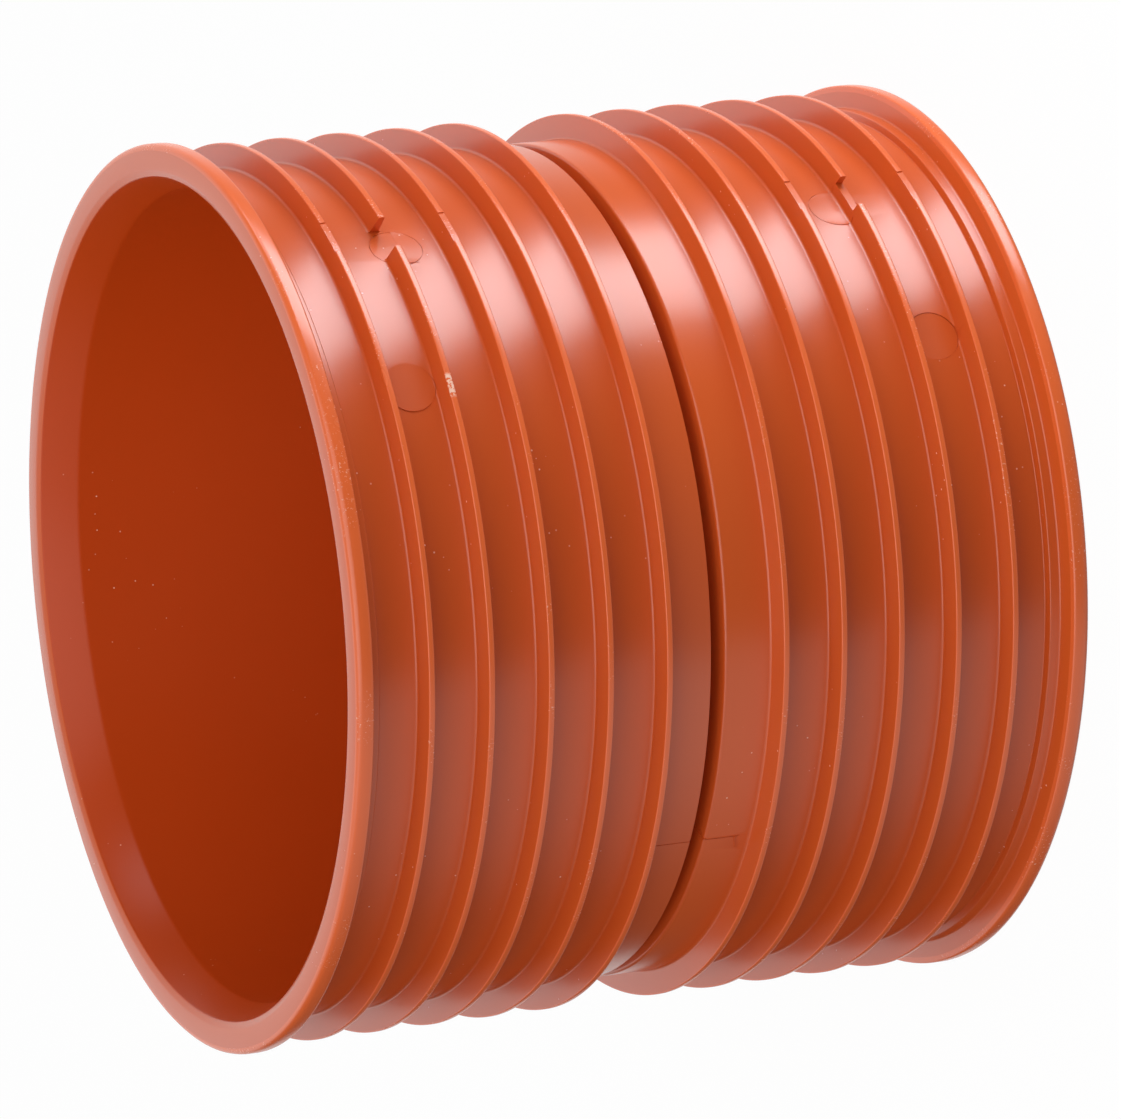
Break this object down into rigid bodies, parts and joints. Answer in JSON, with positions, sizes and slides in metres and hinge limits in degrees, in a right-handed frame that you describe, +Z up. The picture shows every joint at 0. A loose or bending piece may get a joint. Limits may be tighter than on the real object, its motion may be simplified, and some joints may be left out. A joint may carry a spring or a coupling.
{
  "type": "corrugated drainage pipe coupling",
  "caption": "Ribbed plastic sleeve coupling with a socket at each end, for joining two lengths of corrugated drainage pipe.",
  "frame": {"origin": "on the sleeve's axis, in the middle of the central groove", "axes": "+Z up along the sleeve's axis, out of the upper socket, with the sleeve standing on its lower mouth"},
  "size_m": [0.3539, 0.354, 0.302],
  "materials": {
    "coupling_body": "satin"
  },
  "bodies": {
    "root": {"coupling_body": "coupling_body"}
  },
  "joints": []
}
